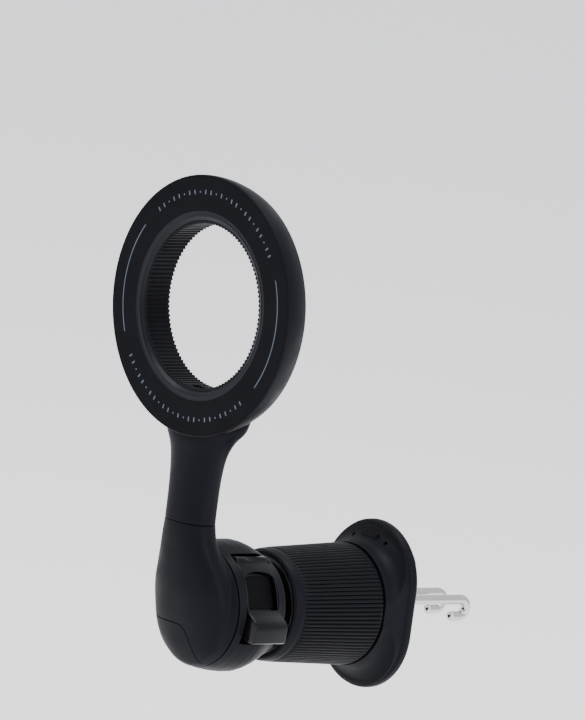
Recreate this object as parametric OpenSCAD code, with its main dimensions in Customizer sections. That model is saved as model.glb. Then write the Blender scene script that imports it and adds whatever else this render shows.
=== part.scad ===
// Car phone mount for an air vent.
// A magnetic ring head sits on a swivel arm. The arm belongs to a round pod that
// holds a ball joint and its lock lever. Behind the ball a ribbed knob draws a
// two pronged hook forward and clamps one blade of the vent.
// The origin is the centre of the face that rests on the vent.
// Y points into the dashboard, Z points up, X is to the right of the driver.

/* [Ring head] */
// Outer radius of the ring at its front face (mm)
ring_r = 32.6; // [31:0.1:34]
// Radius of the open bore inside the ring (mm)
bore_r = 20.5; // [19.8:0.1:20.8]
// Height of the ring centre above the vent axis (mm)
ring_z = 76; // [75:0.5:80]
// Number of magnets in the ring
magnet_n = 20; // [12:2:24]
// Number of grip ribs in the bore
bore_rib_n = 114; // [60:6:120]

/* [Arm] */
// Width of the arm at the swivel joint (mm)
arm_w = 14; // [13:0.1:15]
// Depth of the arm at the swivel joint (mm)
arm_d = 10.3; // [10:0.1:11]
// Height of the swivel joint above the vent axis (mm)
swivel_z = 21.6; // [21:0.1:23]

/* [Ball joint] */
// Radius of the ball (mm)
ball_r = 6.5; // [6:0.1:6.6]
// Radius of the neck behind the ball (mm)
neck_r = 3.6; // [3:0.1:3.8]

/* [Knob] */
// Outer radius of the knob at its rear end (mm)
knob_r = 15.5; // [15:0.1:16]
// Number of grip ribs on the knob
knob_rib_n = 90; // [48:6:96]

/* [Vent base] */
// Half the width of the oval plate (mm)
plate_r = 15.7; // [15.6:0.1:17]
// Half the height of the oval plate (mm)
plate_half_h = 21.4; // [20.8:0.1:23]

/* [Hook] */
// Distance of each prong from the middle (mm)
prong_x = 4.3; // [4:0.1:4.5]
// Radius of the prong wire (mm)
prong_r = 1.22; // [1:0.02:1.24]
// How far the hook reaches behind the vent face (mm)
hook_reach = 28; // [26:0.5:32]

/* [Hidden] */
$fn = 96;

dark = [0.13, 0.14, 0.17];
darker = [0.07, 0.075, 0.09];
steel = [0.78, 0.77, 0.74];
rubber_c = [0.09, 0.09, 0.1];
mark_c = [0.55, 0.62, 0.68];

// Stations along Y, from the vent face towards the driver.
pad_t = 0.8;
plate_front = -4.5;
collar_front = -11.2;
knob_rear = -11.6;
grip_front = -37.4;
lip_front = -40.4;
rim_y = -43.1;
ball_y = -48;
collar_y = -46.5;
seam_y = -60.7;
arm_y = -67.2;
ring_back_y = -65.2;
ring_face_y = -73.8;
disc_r = 15.4;
screw_rad = 13.7;
plate_c = plate_half_h - plate_r;

// Lever pin position and the window it works in.
pin_a = 57;
pin_rad = 14.6;
pin_x = pin_rad * cos(pin_a);
pin_z = pin_rad * sin(pin_a);
pin_r = 0.9;
lever_y0 = -58.2;
lever_y1 = -47.6;

// Prong path.
prong_z = 1.5;
curl_r = 2.15;
curl_y = hook_reach - curl_r - prong_r;

module spin_y() {
  rotate([-90, 0, 0])
    rotate_extrude()
      children();
}

module along_y(y0, y1) {
  translate([0, y1, 0])
    rotate([90, 0, 0])
      linear_extrude(height = y1 - y0)
        children();
}

module rod_y(r, y0, y1) {
  translate([0, y0, 0])
    rotate([-90, 0, 0])
      cylinder(r = r, h = y1 - y0);
}

module tube_y(ro, ri, y0, y1) {
  difference() {
    rod_y(ro, y0, y1);
    rod_y(ri, y0 - 1, y1 + 1);
  }
}

module wedge(a0, a1, r) {
  polygon([
    [0, 0],
    [r * cos(a0), r * sin(a0)],
    [1.2 * r * cos((a0 + a1) / 2), 1.2 * r * sin((a0 + a1) / 2)],
    [r * cos(a1), r * sin(a1)]
  ]);
}

module arc_band(r0, r1, a0, a1) {
  intersection() {
    difference() {
      circle(r = r1);
      circle(r = r0);
    }
    wedge(a0, a1, 2 * r1);
  }
}

// Half section of a disc with two rounded edges.
module slab_half(r, y0, y1, e) {
  translate([0, y0])
    square([r - e, y1 - y0]);
  translate([0, y0 + e])
    square([r, y1 - y0 - 2 * e]);
  for (y = [y0 + e, y1 - e])
    translate([r - e, y])
      circle(r = e, $fn = 32);
}

module plate_outline(inset) {
  for (z = [-plate_c, plate_c])
    translate([0, z])
      circle(r = plate_r - inset);
  square([2 * (plate_r - inset), 2 * plate_c], center = true);
}

// ---- vent base ----

flare_r = 5.5;
flare_hub = 15.6;
flare_pts = [for (i = [0 : 10]) [
  flare_hub + flare_r + flare_r * cos(180 - 9 * i),
  plate_front + 0.3 - flare_r + flare_r * sin(180 - 9 * i)
]];

module base_plate() {
  color(dark)
  difference() {
    union() {
      for (z = [-plate_c, plate_c])
        translate([0, 0, z])
          spin_y()
            slab_half(plate_r, plate_front, -pad_t, 1.5);
      translate([0, 0, -plate_c])
        linear_extrude(height = 2 * plate_c) {
          slab_half(plate_r, plate_front, -pad_t, 1.5);
          mirror([1, 0])
            slab_half(plate_r, plate_front, -pad_t, 1.5);
        }
      intersection() {
        spin_y()
          polygon(concat([[0, plate_front + 0.6], [0, collar_front], [flare_hub, collar_front]],
            flare_pts, [[flare_hub + flare_r, plate_front + 0.6]]));
        along_y(collar_front - 1, plate_front + 1)
          plate_outline(0.4);
      }
      translate([-3, plate_front - 1.4, 17.2])
        cube([6, 2, 0.9]);
    }
    // Counterbore and bore for the keyed core.
    rod_y(12.25, collar_front - 1, -9.35);
    rod_y(8.75, -12, -3);
    // Slot for the two prongs.
    along_y(-4, 1) {
      for (x = [-prong_x, prong_x])
        translate([x, prong_z])
          circle(r = prong_r + 0.35, $fn = 48);
      translate([0, prong_z])
        square([2 * prong_x, 2 * (prong_r + 0.35)], center = true);
    }
    // Moulding pin holes above the collar.
    for (x = [-6, 6])
      translate([x, 0, 16.5])
        rod_y(0.5, -8, -4.2);
    // Countersunk screw holes.
    for (z = [-10.4, 10.4])
      translate([0, 0, z]) {
        rod_y(0.92, -10, 1);
        rod_y(1.75, -2.2, 1);
      }
  }
}

module base_pads() {
  color(rubber_c)
  difference() {
    along_y(-pad_t, 0)
      difference() {
        plate_outline(1.6);
        square([60, 25], center = true);
      }
    for (z = [-18, -16, -14, 14.6, 16.6, 18.6])
      translate([-20, -0.3, z])
        cube([40, 1, 0.5]);
  }
}

module base_core() {
  color(darker)
  difference() {
    union() {
      rod_y(8.7, -33, -3.05);
      rod_y(12.2, collar_front, -9.4);
    }
    rod_y(6.95, -34, -2);
    for (m = [0, 1])
      mirror([m, 0, 0])
        translate([5, -31, -1.65])
          cube([5, 16, 3.3]);
    for (z = [-10.4, 10.4])
      translate([0, 0, z])
        rod_y(0.9, -12, -8);
  }
}

module base_screws() {
  color(steel)
  for (z = [-10.4, 10.4])
    translate([0, 0, z])
      difference() {
        union() {
          rod_y(0.86, -11, -2.3);
          rod_y(1.6, -2.2, -1);
          rod_y(0.86, -2.4, -2.1);
        }
        translate([-1.2, -1.4, -0.2])
          cube([2.4, 1, 0.4]);
        translate([-0.2, -1.4, -1.2])
          cube([0.4, 1, 2.4]);
      }
}

module ball_stud() {
  color([0.62, 0.62, 0.64])
  union() {
    rod_y(6.9, -33, -31.6);
    rod_y(10, -34.6, -33);
    rod_y(neck_r, -43, -34.4);
    translate([0, ball_y, 0])
      rotate([-90, 0, 0])
        sphere(r = ball_r);
  }
}

module thrust_washer() {
  color([0.85, 0.85, 0.8])
  tube_y(9.6, neck_r + 0.4, -35.5, -34.6);
}

// ---- knob ----

grip_taper = 1.1;
grip_len = knob_rear - grip_front;
rib_h = 0.42;

module rib_star(r) {
  polygon([for (i = [0 : knob_rib_n - 1]) for (k = [0 : 3])
    let (a = 360 * (i + [0, 0.2, 0.5, 0.7][k]) / knob_rib_n)
    let (q = r - (k < 2 ? rib_h : 0))
    [q * cos(a), q * sin(a)]
  ]);
}

module knob_grip() {
  color(dark)
  difference() {
    translate([0, knob_rear, 0])
      rotate([90, 0, 0])
        linear_extrude(height = grip_len - 0.02, scale = (knob_r - grip_taper) / knob_r)
          rib_star(knob_r);
    rod_y(12.35, grip_front - 1, knob_rear + 1);
  }
}

module knob_sleeve() {
  color(darker)
  difference() {
    rod_y(12.3, -38.6, knob_rear - 0.2);
    rod_y(10.7, -35.9, knob_rear + 1);
    rod_y(neck_r + 1.5, -39, -35);
    spin_y()
      polygon([[0, -39], [8.5, -39], [neck_r + 1.5, -37.4], [0, -37.4]]);
  }
}

module knob_lip() {
  color(dark)
  spin_y()
    polygon([
      [12.35, grip_front], [knob_r - grip_taper - 0.1, grip_front],
      [knob_r - grip_taper - 0.15, grip_front - 0.9], [knob_r - grip_taper - 0.5, lip_front + 0.5],
      [knob_r - grip_taper - 0.9, lip_front], [knob_r - grip_taper - 1.4, lip_front],
      [12.35, lip_front + 0.6]
    ]);
}

module knob_ring() {
  color([0.35, 0.36, 0.38])
  tube_y(12.3, 11.5, -39.6, -38.65);
}

// ---- hook ----

module prong() {
  translate([0, 0, prong_z])
    rod_y(prong_r, -15, curl_y);
  translate([0, curl_y, prong_z - curl_r])
    rotate([0, 90, 0])
      rotate_extrude(angle = 180)
        translate([curl_r, 0])
          circle(r = prong_r, $fn = 32);
  translate([0, 0, prong_z - 2 * curl_r])
    rod_y(prong_r, 21 + prong_r, curl_y);
  translate([0, 21 + prong_r, prong_z - 2 * curl_r])
    sphere(r = prong_r, $fn = 32);
}

module hook_fork() {
  color(steel)
  difference() {
    union() {
      for (x = [-prong_x, prong_x])
        translate([x, 0, 0])
          prong();
      translate([-prong_x, -15, prong_z])
        rotate([0, 90, 0])
          cylinder(r = prong_r, h = 2 * prong_x);
      for (x = [-prong_x, prong_x])
        translate([x, -15, prong_z])
          sphere(r = prong_r, $fn = 32);
    }
    translate([-10, -10.5, prong_z])
      rotate([0, 90, 0])
        cylinder(r = 0.62, h = 20, $fn = 32);
  }
}

module hook_carriage() {
  color([0.3, 0.3, 0.33])
  difference() {
    union() {
      rod_y(6.6, -22, -6.8);
      translate([-10.2, -20, -1.3])
        cube([20.4, 4, 2.6]);
    }
    for (x = [-prong_x, prong_x])
      translate([x, 0, prong_z])
        rod_y(prong_r + 0.03, -15, 0);
    translate([-prong_x - 1.3, -16.3, prong_z - 1.3])
      cube([2 * prong_x + 2.6, 2.7, 2.6]);
    translate([-10, -10.5, prong_z])
      rotate([0, 90, 0])
        cylinder(r = 0.62, h = 20, $fn = 32);
  }
}

module hook_rivet() {
  color(steel)
  translate([-6.2, -10.5, prong_z])
    rotate([0, 90, 0])
      cylinder(r = 0.6, h = 12.4, $fn = 32);
}

// ---- ball joint ----

module ball_liner() {
  color([0.82, 0.82, 0.8])
  difference() {
    translate([0, ball_y, 0])
      rotate([-90, 0, 0])
        sphere(r = 8.2);
    translate([0, ball_y, 0])
      rotate([-90, 0, 0])
        sphere(r = ball_r + 0.3);
    rod_y(12, ball_y + 4.1, ball_y + 12);
    for (a = [45, 135])
      translate([0, ball_y, 0])
        rotate([0, a, 0])
          translate([-0.4, 0.5, -10])
            cube([0.8, 8, 20]);
  }
}

module socket_cup() {
  color(darker)
  difference() {
    rod_y(11.8, -57.2, -45.4);
    translate([0, ball_y, 0])
      rotate([-90, 0, 0])
        sphere(r = 8.5);
  }
}

// ---- pod ----

shell_pts = [
  [12.1, seam_y + 0.2], [disc_r, seam_y + 0.2], [disc_r + 0.5, -58.6], [16.35, -56], [16.6, -53.4],
  [16.6, -51.6], [16.3, -50.1], [15.8, -48.6], [15.2, -47.3], [14.9, collar_y - 0.05],
  [12.1, collar_y - 0.05]
];

module window(r0) {
  arc_band(r0, 22, -25, pin_a + 1);
}

module pod_shell() {
  color(dark)
  difference() {
    spin_y()
      polygon(shell_pts);
    along_y(lever_y0 - 0.35, lever_y1 + 0.35)
      window(12.9);
    translate([pin_x, 0, pin_z]) {
      rod_y(2.5, lever_y0 - 0.35, lever_y1 + 0.35);
      rod_y(pin_r + 0.02, -60, -44);
    }
    for (a = [120, 200, 285])
      translate([screw_rad * cos(a), 0, screw_rad * sin(a)]) {
        rod_y(0.92, -61, -57);
        rod_y(1.4, -58, -46);
      }
  }
}

module socket_collar() {
  color([0.2, 0.21, 0.25])
  spin_y()
    polygon([
      [12.05, collar_y], [14.85, collar_y], [14.55, -45.9], [14.0, -44.8], [13.55, -43.9],
      [13.4, -43.4], [13.1, rim_y], [10.3, rim_y], [9.6, -43.7], [9.6, -44.9], [12.05, -44.9]
    ]);
}

module seam_band() {
  color([0.02, 0.02, 0.02])
  difference() {
    tube_y(disc_r - 0.45, 12.4, seam_y - 0.2, seam_y + 0.2);
    for (a = [120, 200, 285])
      translate([screw_rad * cos(a), 0, screw_rad * sin(a)])
        rod_y(1, -62, -58);
  }
}

module friction_disc() {
  color([0.5, 0.45, 0.35])
  tube_y(11.9, 3, -60.4, -57.6);
}

// Front dome and the lower part of the arm.
dome_pts = concat(
  [[0, seam_y - 0.2], [disc_r, seam_y - 0.2]],
  [for (i = [0 : 12])
    let (f = i / 12)
    [disc_r * (1 - f), seam_y - 0.45 - 5.4 * pow(sin(90 * pow(f, 0.8)), 1.15)]]
);

module slice(w, d, y, z, t) {
  translate([0, y, z])
    linear_extrude(height = t)
      polygon([for (i = [0 : 47])
        let (c = cos(7.5 * i))
        let (s = sin(7.5 * i))
        [w * sign(c) * pow(abs(c), 0.86), d * sign(s) * pow(abs(s), 0.86)]
      ]);
}

// Half width, half depth, centre and height of the arm, below and above the swivel.
low_arm = [
  [arm_w / 2, arm_d / 2, arm_y, swivel_z - 0.17],
  [8.1, 5.7, arm_y + 1.0, 15.6],
  [9.7, 6.6, arm_y + 2.6, 9.8],
  [10.8, 6.6, seam_y - 2.9, 4.6],
  [11.3, 6.0, seam_y - 1.9, -0.6],
  [10.9, 5.0, seam_y - 1.2, -5.6],
  [8.8, 3.6, seam_y - 0.6, -10.6]
];
high_arm = [
  [arm_w / 2, arm_d / 2, arm_y, swivel_z + 0.17],
  [7.0, 5.15, -67.3, 27.5],
  [7.4, 5.15, -67.4, 34],
  [8.6, 5.1, -67.4, 39.2],
  [11, 5.0, -67.4, 43],
  [15.5, 4.6, -67.3, 47.2],
  [16, 1.8, -65.3, 53]
];

module arm_loft(s) {
  for (i = [0 : len(s) - 2])
    hull() {
      slice(s[i][0], s[i][1], s[i][2], s[i][3], 0.01);
      slice(s[i + 1][0], s[i + 1][1], s[i + 1][2], s[i + 1][3], 0.01);
    }
}

module cover_region() {
  polygon([
    [-24, -4.4], [1.2, -4.4], [2.6, -4.9], [3.6, -6.2], [4.6, -9], [5.5, -12],
    [6.4, -16], [7, -24], [-24, -24]
  ]);
}

// Cone under the cover, which leaves the cover a skin.
module cover_bed(gap) {
  translate([0, -61.85, 0])
    rotate([90, 0, 0])
      cylinder(r1 = 13 + gap, r2 = 6.8 + gap, h = 3.2 + gap);
}

module pod_front() {
  color(dark)
  difference() {
    union() {
      spin_y()
        polygon(dome_pts);
      arm_loft(low_arm);
    }
    rod_y(18, seam_y - 0.2, -40);
    translate([0, arm_y, 6])
      cylinder(r = 3.03, h = 20);
    // Bed of the separate lower cover.
    intersection() {
      along_y(-80, -61.9)
        cover_region();
      difference() {
        rod_y(30, -80, -61.9);
        cover_bed(0);
      }
    }
    for (a = [120, 200, 285])
      translate([screw_rad * cos(a), 0, screw_rad * sin(a)])
        rod_y(0.92, -62.6, -60);
  }
}

module pod_cover() {
  color(dark)
  intersection() {
    difference() {
      union() {
        spin_y()
          polygon(dome_pts);
        arm_loft(low_arm);
      }
      cover_bed(0.12);
      rod_y(18, -61.98, -40);
    }
    along_y(-80, -61)
      translate([-0.12, -0.15])
        cover_region();
  }
}

module pod_screws() {
  color(steel)
  for (a = [120, 200, 285])
    translate([screw_rad * cos(a), 0, screw_rad * sin(a)])
      difference() {
        union() {
          rod_y(0.86, -61.7, -57);
          rod_y(1.35, -57.95, -56.8);
        }
        translate([-1, -57.3, -0.2])
          cube([2, 1, 0.4]);
        translate([-0.2, -57.3, -1])
          cube([0.4, 1, 2]);
      }
}

module lever_pin() {
  color(steel)
  translate([pin_x, 0, pin_z])
    rod_y(pin_r, -59.8, -46.6);
}

module swivel_post() {
  color(steel)
  translate([0, arm_y, 6.05])
    difference() {
      cylinder(r = 3, h = 28.7);
      translate([0, 0, 26.9])
        difference() {
          cylinder(r = 4, h = 0.9);
          cylinder(r = 2.5, h = 2, center = true);
        }
    }
}

module post_clip() {
  color([0.4, 0.4, 0.42])
  translate([0, arm_y, 33.0])
    difference() {
      cylinder(r = 4.2, h = 0.8);
      translate([0, 0, -1])
        cylinder(r = 2.55, h = 3);
      translate([-1.3, -6, -1])
        cube([2.6, 6, 3]);
    }
}

// ---- lock lever ----

// Outline of the lever in the X Z plane: a plate that hugs the pod and a tab
// that flares outward at its free end.
lever_in = [for (i = [0 : 10]) [13.3 * cos(pin_a - 7.2 * i), 13.3 * sin(pin_a - 7.2 * i)]];
lever_out = [
  [16.2, -6.1], [19.0, -6.1], [19.5, -5.7], [19.65, -5.0], [19.75, -1.4], [19.5, -0.7],
  [18.6, -0.1], [17.2, 0.7], [16.0, 1.6], [15.4, 2.7], [15.25, 4.2], [14.8, 6.2],
  [14.0, 8.3], [12.8, 10.3], [11.3, 12.1], [10.2, 13.2]
];
recess_w = 8.6;

module lock_lever() {
  color([0.04, 0.04, 0.045])
  difference() {
    union() {
      along_y(lever_y0, lever_y1)
        difference() {
          polygon(concat(lever_in, [[14.0, -4.8]], lever_out));
          circle(r = 13.25);
        }
      translate([pin_x, 0, pin_z])
        rod_y(1.9, lever_y0, lever_y1);
    }
    translate([pin_x, 0, pin_z])
      rod_y(pin_r + 0.05, -60, -44);
    // Arch topped recess in the outer face.
    translate([13.75, (lever_y0 + lever_y1) / 2, 6.1])
      rotate([0, 76, 0])
        linear_extrude(height = 4)
          intersection() {
            translate([-5, -recess_w / 2])
              square([8.6, recess_w]);
            translate([0.9, 0])
              circle(r = 5.9);
          }
  }
}

// ---- head ----

module at_ring() {
  translate([0, 0, ring_z])
    children();
}

wall_pts = [
  [21.2, ring_back_y + 0.3], [21.6, ring_back_y], [ring_r - 3.4, ring_back_y],
  [ring_r - 2.6, ring_back_y - 0.35], [ring_r - 2.0, ring_back_y - 1.0],
  [ring_r - 1.35, ring_back_y - 2.4], [ring_r - 0.75, ring_back_y - 4.2],
  [ring_r - 0.25, ring_back_y - 6.2], [ring_r, ring_back_y - 7.9],
  [ring_r - 0.05, ring_face_y + 0.25], [ring_r - 0.3, ring_face_y],
  [21.2, ring_face_y]
];

module ring_housing() {
  color(dark)
  difference() {
    union() {
      at_ring()
        spin_y()
          polygon(wall_pts);
      arm_loft(high_arm);
    }
    at_ring() {
      rod_y(21.2, -80, -55);
      // Seat of the face pad and of the lip.
      rod_y(ring_r - 0.45, -80, ring_face_y + 0.9);
      // Magnet channel.
      tube_y(29.6, 24.4, ring_face_y - 1, ring_back_y - 2);
      // Seat of the rear cover.
      tube_y(29, 22.2, ring_back_y - 1, -55);
      // Slot in the bore wall.
      translate([-2, -71.4, -23])
        cube([4, 2.6, 3]);
    }
    // Bore for the swivel bush and room for the clip above it.
    translate([0, arm_y, 20])
      cylinder(r = 4.43, h = 13);
    translate([0, arm_y, 32.9])
      cylinder(r = 4.5, h = 2.6);
  }
}

module ring_back() {
  color(darker)
  difference() {
    at_ring()
      tube_y(28.95, 22.25, ring_back_y - 0.95, ring_back_y + 0.05);
  }
}

module magnet_yoke() {
  color(steel)
  at_ring()
    tube_y(29.5, 24.5, ring_back_y - 2.8, ring_back_y - 2.02);
}

module magnets() {
  color([0.6, 0.6, 0.63])
  at_ring()
    along_y(-72.2, ring_back_y - 2.85)
      for (i = [0 : magnet_n - 1])
        arc_band(24.9, 29.1, 360 * i / magnet_n, 360 * (i + 0.86) / magnet_n);
}

mark_turn = -5;
mark_t = 0.1;
tick_n = 12;

// Two thin arcs beside the bore and a row of small ticks above and below it.
module mark_outlines() {
  for (c = [0, 180])
    arc_band(28.35, 28.65, c - 29 + mark_turn, c + 29 + mark_turn);
  for (c = [90, 270])
    for (i = [-tick_n : tick_n])
      let (a = c + 4 * i + mark_turn)
      let (short = abs(i) % 3 == 1 ? 0.35 : 0)
      arc_band(27.75 + short, 28.85 - short, a - 0.42, a + 0.42);
}

module face_pad() {
  color([0.12, 0.13, 0.155])
  at_ring()
    difference() {
      tube_y(ring_r - 0.5, 23.65, ring_face_y, ring_face_y + 0.88);
      along_y(ring_face_y - 1, ring_face_y + mark_t)
        mark_outlines();
    }
}

module face_lip() {
  color([0.2, 0.21, 0.24])
  at_ring()
    spin_y()
      polygon([
        [21.25, ring_face_y + 0.88], [21.35, ring_face_y + 0.75], [22.25, ring_face_y + 0.2],
        [22.4, ring_face_y], [22.65, ring_face_y], [22.75, ring_face_y + 0.12],
        [23.3, ring_face_y + 0.12], [23.4, ring_face_y], [23.6, ring_face_y],
        [23.6, ring_face_y + 0.88]
      ]);
}

module face_marks() {
  color(mark_c)
  at_ring()
    along_y(ring_face_y, ring_face_y + mark_t)
      mark_outlines();
}

module bore_grip() {
  color(darker)
  at_ring()
    difference() {
      along_y(ring_face_y + 0.92, ring_back_y - 0.1)
        difference() {
          circle(r = 21.17, $fn = 720);
          polygon([for (i = [0 : bore_rib_n - 1]) for (k = [0 : 3])
            let (a = 360 * (i + [0, 0.25, 0.5, 0.75][k]) / bore_rib_n)
            let (q = bore_r + (k < 2 ? 0.35 : 0))
            [q * cos(a), q * sin(a)]
          ]);
        }
      translate([-2, -71.4, -23])
        cube([4, 2.6, 3]);
    }
}

module swivel_bush() {
  color([0.8, 0.78, 0.7])
  translate([0, arm_y, swivel_z + 0.25])
    difference() {
      cylinder(r = 4.4, h = 10.9);
      translate([0, 0, -1])
        cylinder(r = 3.05, h = 14);
    }
}

base_plate();
base_pads();
base_core();
base_screws();
ball_stud();
thrust_washer();
knob_grip();
knob_sleeve();
knob_lip();
knob_ring();
hook_carriage();
hook_fork();
hook_rivet();
ball_liner();
socket_cup();
pod_shell();
socket_collar();
seam_band();
friction_disc();
pod_front();
pod_cover();
pod_screws();
lever_pin();
swivel_post();
post_clip();
lock_lever();
ring_housing();
ring_back();
magnet_yoke();
magnets();
face_pad();
face_lip();
face_marks();
bore_grip();
swivel_bush();
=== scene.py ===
"""Car phone mount: materials, detailed pieces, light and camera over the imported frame."""

import math

import bmesh
import bpy
from mathutils import Matrix, Vector


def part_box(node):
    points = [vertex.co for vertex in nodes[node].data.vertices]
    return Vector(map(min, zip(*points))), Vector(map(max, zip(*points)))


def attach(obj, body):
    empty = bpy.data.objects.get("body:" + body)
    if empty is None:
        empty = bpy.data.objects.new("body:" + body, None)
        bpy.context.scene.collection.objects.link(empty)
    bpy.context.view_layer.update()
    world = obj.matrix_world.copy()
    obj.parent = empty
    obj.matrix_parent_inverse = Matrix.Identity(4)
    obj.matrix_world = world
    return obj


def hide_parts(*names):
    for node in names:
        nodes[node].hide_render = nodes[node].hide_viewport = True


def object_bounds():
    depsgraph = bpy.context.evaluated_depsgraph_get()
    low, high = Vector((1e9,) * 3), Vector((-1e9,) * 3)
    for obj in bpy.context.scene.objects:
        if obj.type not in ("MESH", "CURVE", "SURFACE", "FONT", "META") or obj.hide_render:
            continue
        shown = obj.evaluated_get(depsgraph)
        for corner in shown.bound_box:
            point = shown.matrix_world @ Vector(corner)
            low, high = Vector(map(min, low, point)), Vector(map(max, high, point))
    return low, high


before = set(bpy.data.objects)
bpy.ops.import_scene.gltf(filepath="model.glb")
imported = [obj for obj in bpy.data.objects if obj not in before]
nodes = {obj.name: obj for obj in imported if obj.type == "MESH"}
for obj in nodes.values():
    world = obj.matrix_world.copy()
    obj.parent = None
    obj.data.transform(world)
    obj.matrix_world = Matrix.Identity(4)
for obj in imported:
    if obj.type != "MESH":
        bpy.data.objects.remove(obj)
frame_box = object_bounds()
MM = 0.001


# ---------------------------------------------------------------- materials


def principled(name):
    mat = bpy.data.materials.new(name)
    mat.use_nodes = True
    tree = mat.node_tree
    shader = tree.nodes["Principled BSDF"]
    coord = tree.nodes.new("ShaderNodeTexCoord")
    return mat, tree, shader, coord


def noise(tree, coord, scale, detail=3.0, stretch=(1, 1, 1)):
    mapping = tree.nodes.new("ShaderNodeMapping")
    mapping.inputs["Scale"].default_value = stretch
    tree.links.new(coord.outputs["Object"], mapping.inputs["Vector"])
    tex = tree.nodes.new("ShaderNodeTexNoise")
    tex.inputs["Scale"].default_value = scale
    tex.inputs["Detail"].default_value = detail
    tree.links.new(mapping.outputs["Vector"], tex.inputs["Vector"])
    return tex.outputs["Fac"]


def ramp(tree, fac, low, high, start=0.35, end=0.65):
    node = tree.nodes.new("ShaderNodeMapRange")
    node.inputs["From Min"].default_value = start
    node.inputs["From Max"].default_value = end
    node.inputs["To Min"].default_value = low
    node.inputs["To Max"].default_value = high
    tree.links.new(fac, node.inputs["Value"])
    return node.outputs["Result"]


def mix(tree, fac, a, b):
    node = tree.nodes.new("ShaderNodeMix")
    node.data_type = "RGBA"
    node.inputs["A"].default_value = (*a, 1)
    node.inputs["B"].default_value = (*b, 1)
    tree.links.new(fac, node.inputs["Factor"])
    return node.outputs["Result"]


def add_bump(tree, shader, height, strength, distance):
    bump = tree.nodes.new("ShaderNodeBump")
    bump.inputs["Strength"].default_value = strength
    bump.inputs["Distance"].default_value = distance
    tree.links.new(height, bump.inputs["Height"])
    tree.links.new(bump.outputs["Normal"], shader.inputs["Normal"])


def plastic(name, color, rough, grain=2600, bump=0.12, specular=0.5, coat=0.0):
    """Moulded plastic: faint tone drift, fine spark grain and handling marks in the gloss."""
    mat, tree, shader, coord = principled(name)
    drift = noise(tree, coord, 70, 4)
    tint = tuple(c * 1.35 for c in color)
    tree.links.new(mix(tree, drift, tuple(c * 0.8 for c in color), tint), shader.inputs["Base Color"])
    smudge = noise(tree, coord, 160, 5)
    tree.links.new(ramp(tree, smudge, rough - 0.05, rough + 0.07), shader.inputs["Roughness"])
    add_bump(tree, shader, noise(tree, coord, grain, 2), bump, 0.00006)
    shader.inputs["Specular IOR Level"].default_value = specular
    shader.inputs["Coat Weight"].default_value = coat
    shader.inputs["Coat Roughness"].default_value = 0.06
    return mat


def metal(name, color, rough, stretch=(1, 1, 1), bump=0.1, grain=900):
    """Metal with drawn or turned lines along the stretched axis."""
    mat, tree, shader, coord = principled(name)
    shader.inputs["Metallic"].default_value = 1
    lines = noise(tree, coord, grain, 4, stretch)
    tree.links.new(mix(tree, lines, tuple(c * 0.86 for c in color), color), shader.inputs["Base Color"])
    cloud = noise(tree, coord, 240, 4)
    tree.links.new(ramp(tree, cloud, rough * 0.75, rough * 1.35), shader.inputs["Roughness"])
    add_bump(tree, shader, lines, bump, 0.00003)
    return mat


SHELL = plastic("shell_plastic", (0.0046, 0.0046, 0.0070), 0.42, 2600, 0.14, 0.07)
RIBBED = plastic("ribbed_plastic", (0.0030, 0.0031, 0.0048), 0.38, 3000, 0.1, 0.1)
BAND = plastic("collar_plastic", (0.006, 0.0062, 0.0095), 0.33, 2600, 0.08, 0.16)
INNER = plastic("inner_plastic", (0.0022, 0.0022, 0.003), 0.5, 2200, 0.15, 0.06)
FACE = plastic("face_silicone", (0.0034, 0.0034, 0.0050), 0.5, 4200, 0.08, 0.05)
PAD = plastic("pad_rubber", (0.011, 0.0115, 0.013), 0.72, 1800, 0.35, 0.3)
GLOSS = plastic("lever_gloss", (0.0020, 0.0020, 0.0032), 0.16, 500, 0.03, 0.16, 0.1)
PALE = plastic("pale_plastic", (0.62, 0.61, 0.56), 0.4, 2000, 0.1)
MARK = plastic("mark_print", (0.085, 0.105, 0.135), 0.5, 5200, 0.15, 0.1)
HOOK = metal("hook_nickel", (0.72, 0.70, 0.68), 0.1, (1, 0.05, 1), 0.12, 1400)
STEEL = metal("turned_steel", (0.55, 0.55, 0.55), 0.28, (1, 1, 1), 0.15, 1600)
ALLOY = metal("stud_alloy", (0.58, 0.58, 0.60), 0.3, (1, 0.1, 1), 0.14, 1500)
PIN_BLACK = metal("blackened_steel", (0.012, 0.012, 0.014), 0.4, (1, 1, 1), 0.06, 1600)
THIN_STEEL = metal("ring_steel", (0.16, 0.16, 0.17), 0.45, (1, 1, 1), 0.01, 300)
MAGNET = metal("magnet_nickel", (0.6, 0.59, 0.57), 0.22, (1, 1, 1), 0.1, 2200)

LOOKS = {
    SHELL: "base_plate knob_lip pod_shell pod_front pod_cover ring_housing",
    RIBBED: "knob_grip bore_grip",
    BAND: "socket_collar face_lip",
    INNER: "base_core knob_sleeve hook_carriage socket_cup seam_band ring_back",
    FACE: "face_pad",
    PAD: "base_pads friction_disc",
    GLOSS: "lock_lever",
    PALE: "thrust_washer ball_liner swivel_bush",
    MARK: "face_marks",
    HOOK: "hook_fork",
    STEEL: "base_screws hook_rivet pod_screws swivel_post post_clip magnet_yoke",
    PIN_BLACK: "lever_pin",
    THIN_STEEL: "knob_ring",
    ALLOY: "ball_stud",
    MAGNET: "magnets",
}
for look, names in LOOKS.items():
    for name in names.split():
        nodes[name].data.materials.clear()
        nodes[name].data.materials.append(look)


# ---------------------------------------------------------------- mesh helpers


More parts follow.
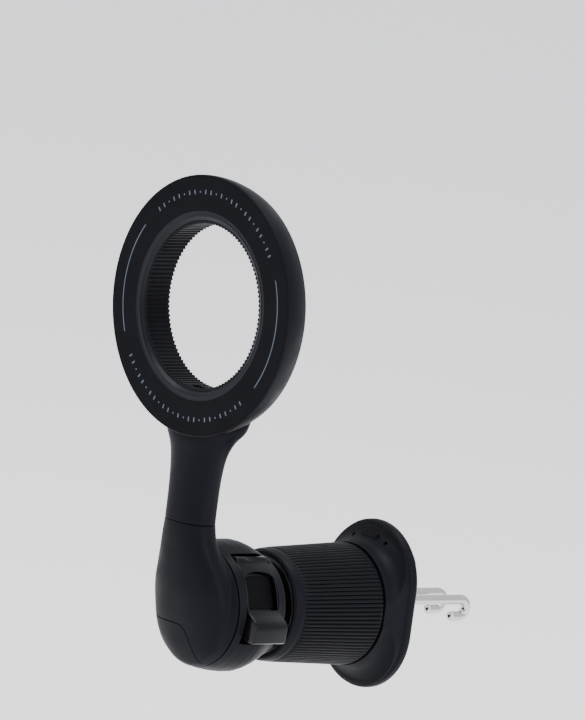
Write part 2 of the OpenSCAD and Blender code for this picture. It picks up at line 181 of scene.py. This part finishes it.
def new_piece(name, bm, mat, body, smooth=True, angle=35):
    mesh = bpy.data.meshes.new(name)
    bmesh.ops.recalc_face_normals(bm, faces=bm.faces)
    bm.to_mesh(mesh)
    bm.free()
    obj = bpy.data.objects.new(name, mesh)
    bpy.context.scene.collection.objects.link(obj)
    if smooth:
        mesh.shade_smooth()
        mesh.set_sharp_from_angle(angle=math.radians(angle))
    mesh.materials.append(mat)
    if body:
        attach(obj, body)
    return obj


def rings_to_mesh(bm, rings, closed=True):
    """Joins rings of points, each with the same count, into a skin; closed ends get a cap."""
    rows = [[bm.verts.new(p) for p in ring] for ring in rings]
    n = len(rows[0])
    for a, b in zip(rows, rows[1:]):
        for i in range(n):
            j = (i + 1) % n
            bm.faces.new((a[i], a[j], b[j], b[i]))
    if closed:
        bm.faces.new(rows[0])
        bm.faces.new(rows[-1])
    return rows


def lathe(bm, profile, z0=0.0, steps=192, radius_at=None):
    """Turns (radius, y) points, a closed loop, round the Y axis through height z0."""
    loop = list(profile) + [profile[0]]
    rings = []
    for r, y in loop[:-1]:
        ring = []
        for i in range(steps):
            a = 2 * math.pi * i / steps
            q = radius_at(r, y, a) if radius_at else r
            ring.append(Vector((q * math.cos(a), y, z0 + q * math.sin(a))) * MM)
        rings.append(ring)
    rows = [[bm.verts.new(p) for p in ring] for ring in rings]
    for a, b in zip(rows, rows[1:] + rows[:1]):
        for i in range(steps):
            j = (i + 1) % steps
            bm.faces.new((a[i], a[j], b[j], b[i]))


def catmull(keys, t):
    """Smooth value through equally spaced keys at t, counted in keys."""
    i = min(int(t), len(keys) - 2)
    f = t - i
    p0, p1, p2, p3 = (keys[max(0, min(len(keys) - 1, i + k))] for k in (-1, 0, 1, 2))
    out = []
    for a, b, c, d in zip(p0, p1, p2, p3):
        second = (2 * a - 5 * b + 4 * c - d) * f * f
        third = (3 * b - a - 3 * c + d) * f**3
        out.append(0.5 * (2 * b + (c - a) * f + second + third))
    return out


# Power that squares an arm's elliptical section a little; 1 is a true ellipse.
SQUARENESS = 0.86


def arm_rings(sections, per_span=10, around=96, start_round=0.0):
    """Rings of a lofted arm. A section is half width, half depth, centre y and height z, in mm,
    and then the half width on the +X side where that differs. start_round rounds the first edge."""
    rings = []
    total = (len(sections) - 1) * per_span
    sections = [(*row[:4], row[4] if len(row) > 4 else row[0]) for row in sections]
    for k in range(total + 1):
        left, d, y, z, right = catmull(sections, k / per_span)
        ring = []
        for i in range(around):
            a = 2 * math.pi * i / around
            c, s = math.cos(a), math.sin(a)
            w = right if c > 0 else left
            x = w * math.copysign(abs(c) ** SQUARENESS, c)
            depth = y + d * math.copysign(abs(s) ** SQUARENESS, s)
            ring.append(Vector((x, depth, z)) * MM)
        rings.append(ring)
    if start_round:
        w, d, y, z = sections[0][:4]
        shrink = 1 - start_round / w
        direction = 1 if sections[1][3] > z else -1
        first = [Vector((p.x * shrink, y * MM + (p.y - y * MM) * shrink, p.z)) for p in rings[0]]
        rings[0] = [p + Vector((0, 0, direction * start_round * MM)) for p in rings[0]]
        rings.insert(0, first)
    return rings


def run_modifier(obj, kind, **values):
    mod = obj.modifiers.new(kind.lower(), kind)
    for key, value in values.items():
        setattr(mod, key, value)
    dg = bpy.context.evaluated_depsgraph_get()
    mesh = bpy.data.meshes.new_from_object(obj.evaluated_get(dg))
    obj.modifiers.clear()
    obj.data = mesh


def prism(name, outline, y0, y1, mat=None):
    """A closed solid from an outline in the X Z plane, between two Y stations."""
    bm = bmesh.new()
    rings_to_mesh(bm, [[Vector((x, y, z)) * MM for x, z in outline] for y in (y0, y1)])
    return new_piece(name, bm, mat or SHELL, None, smooth=False)


def bevel(obj, width, segments, degrees):
    limit = math.radians(degrees)
    run_modifier(obj, "BEVEL", width=width, segments=segments, limit_method="ANGLE", angle_limit=limit)


def cut(obj, tool, operation):
    run_modifier(obj, "BOOLEAN", object=tool, operation=operation, solver="EXACT")


def drop(obj):
    bpy.data.objects.remove(obj, do_unlink=True)


def carve(obj, tool):
    cut(obj, tool, "DIFFERENCE")
    drop(tool)


# ---------------------------------------------------------------- sizes read from the frame


def box_mm(node):
    lo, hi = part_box(node)
    return lo / MM, hi / MM


housing_lo, housing_hi = box_mm("ring_housing")
pad_lo, pad_hi = box_mm("face_pad")
grip_lo, grip_hi = box_mm("knob_grip")
post_lo, post_hi = box_mm("swivel_post")
front_lo, front_hi = box_mm("pod_front")
lever_lo, lever_hi = box_mm("lock_lever")
pin_lo, pin_hi = box_mm("lever_pin")

ring_r = housing_hi.x
ring_z = (pad_lo.z + pad_hi.z) / 2
face_y = pad_lo.y
back_y = box_mm("ring_back")[1].y
post_y = (post_lo.y + post_hi.y) / 2
swivel_z = (front_hi.z + housing_lo.z) / 2
seam_y = front_hi.y
pin_x = (pin_lo.x + pin_hi.x) / 2
pin_z = (pin_lo.z + pin_hi.z) / 2


# ---------------------------------------------------------------- knob sleeve with round ribs

KNOB_RIBS = 90


def knob_grip():
    y0, y1 = grip_lo.y, grip_hi.y
    r_rear, taper, depth = grip_hi.x, 1.1, 0.42
    samples = 8

    def radius(r, y, a):
        if r < r_rear - 2:
            return r
        phase = (a * KNOB_RIBS / (2 * math.pi)) % 1
        lift = abs(math.sin(math.pi * phase)) ** 0.55
        fade = min(1, max(0, (y - y0 - 0.25) / 0.9)) * min(1, max(0.0, (y1 - y - 0.1) / 0.5))
        return r - depth * (1 - lift * math.sqrt(fade))

    def cone(y):
        return r_rear - taper * (y1 - y) / (y1 - y0)

    stations = [y0 + (y1 - y0) * k / 24 for k in range(25)]
    stations += [y0 + 0.3, y0 + 0.5, y0 + 0.8, y1 - 0.5, y1 - 0.25]
    outer = sorted(((cone(y), y) for y in stations), key=lambda p: p[1])
    bm = bmesh.new()
    lathe(bm, outer + [(12.4, y1), (12.4, y0)], 0, KNOB_RIBS * samples, radius)
    obj = new_piece("knob_ribs", bm, RIBBED, "knob", angle=60)
    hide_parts("knob_grip")


# ---------------------------------------------------------------- ring housing and neck


def ring_shell():
    t = face_y
    b = back_y - 0.05
    outer = []
    for k in range(15):
        f = k / 14
        y = b - 1.0 + (t + 0.35 - b + 1.0) * f
        drop_r = 2.0 * (1 - f) ** 1.9
        outer.append((ring_r - drop_r, y))
    profile = [(21.6, b), (ring_r - 3.4, b), (ring_r - 2.75, b - 0.25)]
    profile += outer
    profile += [(ring_r - 0.08, t + 0.14), (ring_r - 0.25, t + 0.02), (ring_r - 0.42, t)]
    profile += [(ring_r - 0.44, t + 0.92), (23.62, t + 0.92), (21.25, t + 0.92), (21.2, b - 0.3)]
    bm = bmesh.new()
    lathe(bm, profile, ring_z, 256)
    shell = new_piece("ring_shell", bm, SHELL, "head", angle=40)
    sections = [
        (7.0, 5.15, post_y, swivel_z + 0.11),
        (7.0, 5.15, post_y - 0.1, swivel_z + 6),
        (7.4, 5.15, post_y - 0.2, swivel_z + 12.4),
        (8.6, 5.1, post_y - 0.2, swivel_z + 17.6),
        (11, 5.0, post_y - 0.2, swivel_z + 21.4),
        (15.2, 4.5, post_y - 0.1, swivel_z + 25.6),
        (16, 1.8, post_y + 1.85, swivel_z + 31.4),
    ]
    bm = bmesh.new()
    rings_to_mesh(bm, arm_rings(sections, start_round=0.1))
    neck = new_piece("neck_shell", bm, SHELL, "head", angle=50)
    bore_bm = bmesh.new()
    front, rear, bore_r = face_y - 5, back_y + 9, 23.4
    lathe(bore_bm, [(0.01, front), (bore_r, front), (bore_r, rear), (0.01, rear)], ring_z, 96)
    bore = new_piece("bore_tool", bore_bm, SHELL, None)
    carve(neck, bore)
    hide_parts("ring_housing")


# ---------------------------------------------------------------- pod front, arm and cover


def cover_outline(g):
    """Outline of the lower cover in X and Z, grown by g mm."""
    return [
        (-24, -4.45 + g), (0.8, -4.45 + g), (2.2 + 0.5 * g, -4.8 + g), (3.2 + g, -5.8 + 0.6 * g),
        (4.0 + g, -7.6), (4.8 + g, -10), (5.5 + g, -12.6), (6.4 + g, -16), (7 + g, -24), (-24, -24),
    ]


def pod_front():
    """The pod's dome and lower arm as one smooth form, split along the edge of the cover."""
    s, r = seam_y, -front_lo.z
    dome = [(0.01, s + 3), (r, s + 3)]
    for k in range(25):
        f = k / 24
        dome.append((max(0.01, r * (1 - f)), s - 0.25 - 5.6 * math.sin(math.pi / 2 * f ** 0.8) ** 1.15))
    bm = bmesh.new()
    lathe(bm, dome, 0, 128)
    sections = [
        (7.0, 5.15, post_y, swivel_z + 0.6),
        (7.7, 5.45, post_y + 0.5, swivel_z - 4),
        (8.6, 6.0, post_y + 1.5, swivel_z - 8, 9.4),
        (9.7, 6.6, post_y + 2.6, 9.8, 11.6),
        (10.7, 6.6, s - 3.0, 5, 13.2),
        (11.3, 6.1, s - 2.0, 0, 13.9),
        (11.1, 5.2, s - 1.2, -5.2, 13.5),
        (9.2, 4.0, s - 0.6, -10.2, 10.9),
        (5.0, 2.4, s, -14.0, 5.8),
        (1.0, 0.8, s, -15.2),
    ]
    rings_to_mesh(bm, arm_rings(sections))
    solid = new_piece("pod_blend", bm, SHELL, None)
    run_modifier(solid, "REMESH", mode="VOXEL", voxel_size=0.00032, use_smooth_shade=True)
    run_modifier(solid, "SMOOTH", factor=0.5, iterations=34)
    top = swivel_z - 0.11
    block = prism("front_block", [(-40, -30), (40, -30), (40, top), (-40, top)], -90, seam_y)
    cut(solid, block, "INTERSECT")
    drop(block)
    bpy.context.view_layer.update()
    cover = solid.copy()
    cover.data = solid.data.copy()
    cover.name = "cover_skin"
    bpy.context.scene.collection.objects.link(cover)
    for obj, grow, operation in ((solid, 0.13, "DIFFERENCE"), (cover, -0.13, "INTERSECT")):
        inset = 0.9 if obj is cover else 0.75
        tool = prism("cover_tool", cover_outline(grow), -90, seam_y - inset)
        cut(obj, tool, operation)
        drop(tool)
    solid.name = "arm_front"
    for obj, node in ((solid, "pod_front"), (cover, "pod_cover")):
        obj.data.shade_smooth()
        obj.data.set_sharp_from_angle(angle=math.radians(42))
        obj.data.materials.clear()
        obj.data.materials.append(SHELL)
        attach(obj, "pod")
        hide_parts(node)


# ---------------------------------------------------------------- lock lever


def polar(r, degrees):
    return r * math.cos(math.radians(degrees)), r * math.sin(math.radians(degrees))


KNUCKLE_R = 1.85
PIN_BORE_R = 0.96
RECESS_FLOOR = 14.45
RECESS_RAIL = 0.5
SCOOP_R = 9


def lever_outline(top):
    """The lever's section: inner arc, flared tab, outer arc and the knuckle round its pin."""
    tab_x = lever_hi.x
    inner = [polar(13.3, top + 4 - 8 * k) for k in range(10)]
    tab = [
        (14.1, -4.9), (16.2, -6.0), (tab_x - 0.75, -6.0), (tab_x - 0.3, -5.6), (tab_x - 0.08, -4.6),
        (tab_x, -1.7), (tab_x - 0.25, -0.9), (tab_x - 1.0, -0.25), (17.4, 0.65), (16.3, 1.35), (15.6, 2.2),
    ]
    arc = [polar(15.5 + 0.45 * math.sin(math.radians(3 * k)), 12 + 4.2 * k) for k in range(11)]
    turns = (0.95, 1.35, 1.8, 2.3, 2.8, 3.3)
    knuckle = [(pin_x + KNUCKLE_R * math.cos(t), pin_z + KNUCKLE_R * math.sin(t)) for t in turns]
    return inner + tab + arc + knuckle


def arched(mid, half, low, high, rise, steps=14):
    """An outline in y and degrees round the pod, with straight sides and an arched top."""
    outline = [(mid - half, low), (mid + half, low)]
    for k in range(steps + 1):
        a = math.pi * k / steps
        outline.append((mid + half * math.cos(a), high + rise * math.sin(a)))
    return outline


def wrapped(outline, radii):
    """A block wrapped round the pod's axis, from an outline in y and degrees."""
    bm = bmesh.new()
    rings = []
    for r in radii:
        rings.append([Vector((polar(r, a)[0], y, polar(r, a)[1])) * MM for y, a in outline])
    rings_to_mesh(bm, rings)
    return bm


def scoop_tool(mid, top):
    """Ball that dishes a thumb scoop between the recess and the hinge, clear of the pin."""
    bm = bmesh.new()
    bmesh.ops.create_uvsphere(bm, u_segments=96, v_segments=64, radius=SCOOP_R * MM)
    scoop = new_piece("scoop_tool", bm, GLOSS, None, smooth=False)
    x, z = polar(math.hypot(pin_x, pin_z) + KNUCKLE_R + SCOOP_R - 0.6, top - 5)
    scoop.data.transform(Matrix.Translation(Vector((x, mid, z)) * MM))
    return scoop


def pin_tool(y0, y1):
    bm = bmesh.new()
    lathe(bm, [(0.01, y0 - 1), (PIN_BORE_R, y0 - 1), (PIN_BORE_R, y1 + 1), (0.01, y1 + 1)], 0, 48)
    bore = new_piece("pin_bore", bm, GLOSS, None, smooth=False)
    bore.data.transform(Matrix.Translation(Vector((pin_x, 0, pin_z)) * MM))
    return bore


def lock_lever():
    """A plate that hugs the pod, with a framed recess and a tab that flares outward."""
    y0, y1 = lever_lo.y, lever_hi.y
    mid, half = (y0 + y1) / 2, (y1 - y0) / 2 - RECESS_RAIL
    top = math.degrees(math.atan2(pin_z, pin_x))
    lever = prism("lever_plate", lever_outline(top), y0, y1, GLOSS)
    bevel(lever, 0.00032, 3, 38)
    recess = wrapped(arched(mid, half, 7.0, 37, 7), (RECESS_FLOOR, RECESS_FLOOR + 5))
    carve(lever, new_piece("recess_tool", recess, GLOSS, None, smooth=False))
    carve(lever, scoop_tool(mid, top))
    carve(lever, pin_tool(y0, y1))
    lever.data.shade_smooth()
    lever.data.set_sharp_from_angle(angle=math.radians(32))
    lever.data.materials.clear()
    lever.data.materials.append(GLOSS)
    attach(lever, "lever")
    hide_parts("lock_lever")
    # Dark insert on the floor of the recess.
    pad = wrapped(arched(mid, half - 0.35, 8.2, 36, 6.2), (RECESS_FLOOR - 0.15, RECESS_FLOOR + 0.22))
    insert = new_piece("lever_insert", pad, INNER, "lever", angle=30)
    bevel(insert, 0.00012, 2, 40)


knob_grip()
ring_shell()
pod_front()
lock_lever()


# ---------------------------------------------------------------- stage, light and camera


def plain(name, color, rough):
    mat, tree, shader, coord = principled(name)
    speck = noise(tree, coord, 6, 3)
    tree.links.new(mix(tree, speck, tuple(c * 0.985 for c in color), color), shader.inputs["Base Color"])
    shader.inputs["Roughness"].default_value = rough
    shader.inputs["Emission Color"].default_value = (*color, 1)
    shader.inputs["Emission Strength"].default_value = 0.55
    return mat


def make_stage():
    low = frame_box[0].z - 0.03
    bm = bmesh.new()
    place = Matrix.Translation((0, 0, low))
    bmesh.ops.create_circle(bm, cap_ends=True, segments=96, radius=6, matrix=place)
    mesh = bpy.data.meshes.new("floor")
    bm.to_mesh(mesh)
    bm.free()
    floor = bpy.data.objects.new("floor", mesh)
    bpy.context.scene.collection.objects.link(floor)
    mesh.materials.append(plain("paper", (0.9, 0.9, 0.91), 0.8))


def area(name, place, size, power, target=Vector((0, -0.03, 0.045)), color=(1, 1, 1)):
    lamp = bpy.data.lights.new(name, "AREA")
    lamp.shape = "RECTANGLE"
    lamp.size, lamp.size_y = size
    lamp.energy = power
    lamp.color = color
    obj = bpy.data.objects.new(name, lamp)
    obj.location = place
    obj.rotation_mode = "QUATERNION"
    obj.rotation_quaternion = (target - Vector(place)).to_track_quat("-Z", "Y")
    bpy.context.scene.collection.objects.link(obj)


def make_lights():
    world = bpy.data.worlds.new("studio")
    world.use_nodes = True
    back = world.node_tree.nodes["Background"]
    back.inputs["Color"].default_value = (0.93, 0.95, 1.0, 1)
    back.inputs["Strength"].default_value = 1.05
    bpy.context.scene.world = world
    area("key_soft", (-0.35, -0.75, 0.75), (0.45, 0.45), 4)
    area("side_strip", (0.85, 0.1, 0.35), (0.2, 0.8), 3, color=(0.93, 0.93, 1.0))
    area("top_soft", (0.1, 0.1, 0.95), (0.6, 0.4), 5)


def make_camera():
    """A long lens from the front right and a little above, rolled by a few degrees."""
    target, distance = Vector((-0.0262, -0.0156, 0.0570)), 4.0
    right = Vector((0.662, 0.737, 0.1347)).normalized()
    up = Vector((-0.1994, 0, 0.9799)).normalized()
    toward = right.cross(up).normalized()
    up = toward.cross(right)
    cam = bpy.data.cameras.new("camera")
    cam.sensor_fit = "HORIZONTAL"
    cam.sensor_width = 36
    cam.lens = 978
    cam.clip_start = 0.05
    cam.clip_end = 20
    obj = bpy.data.objects.new("camera", cam)
    turn = Matrix((right, up, toward)).transposed()
    obj.rotation_mode = "QUATERNION"
    obj.rotation_quaternion = turn.to_quaternion()
    obj.location = target + toward * distance
    bpy.context.scene.collection.objects.link(obj)
    bpy.context.scene.camera = obj


make_stage()
make_lights()
make_camera()
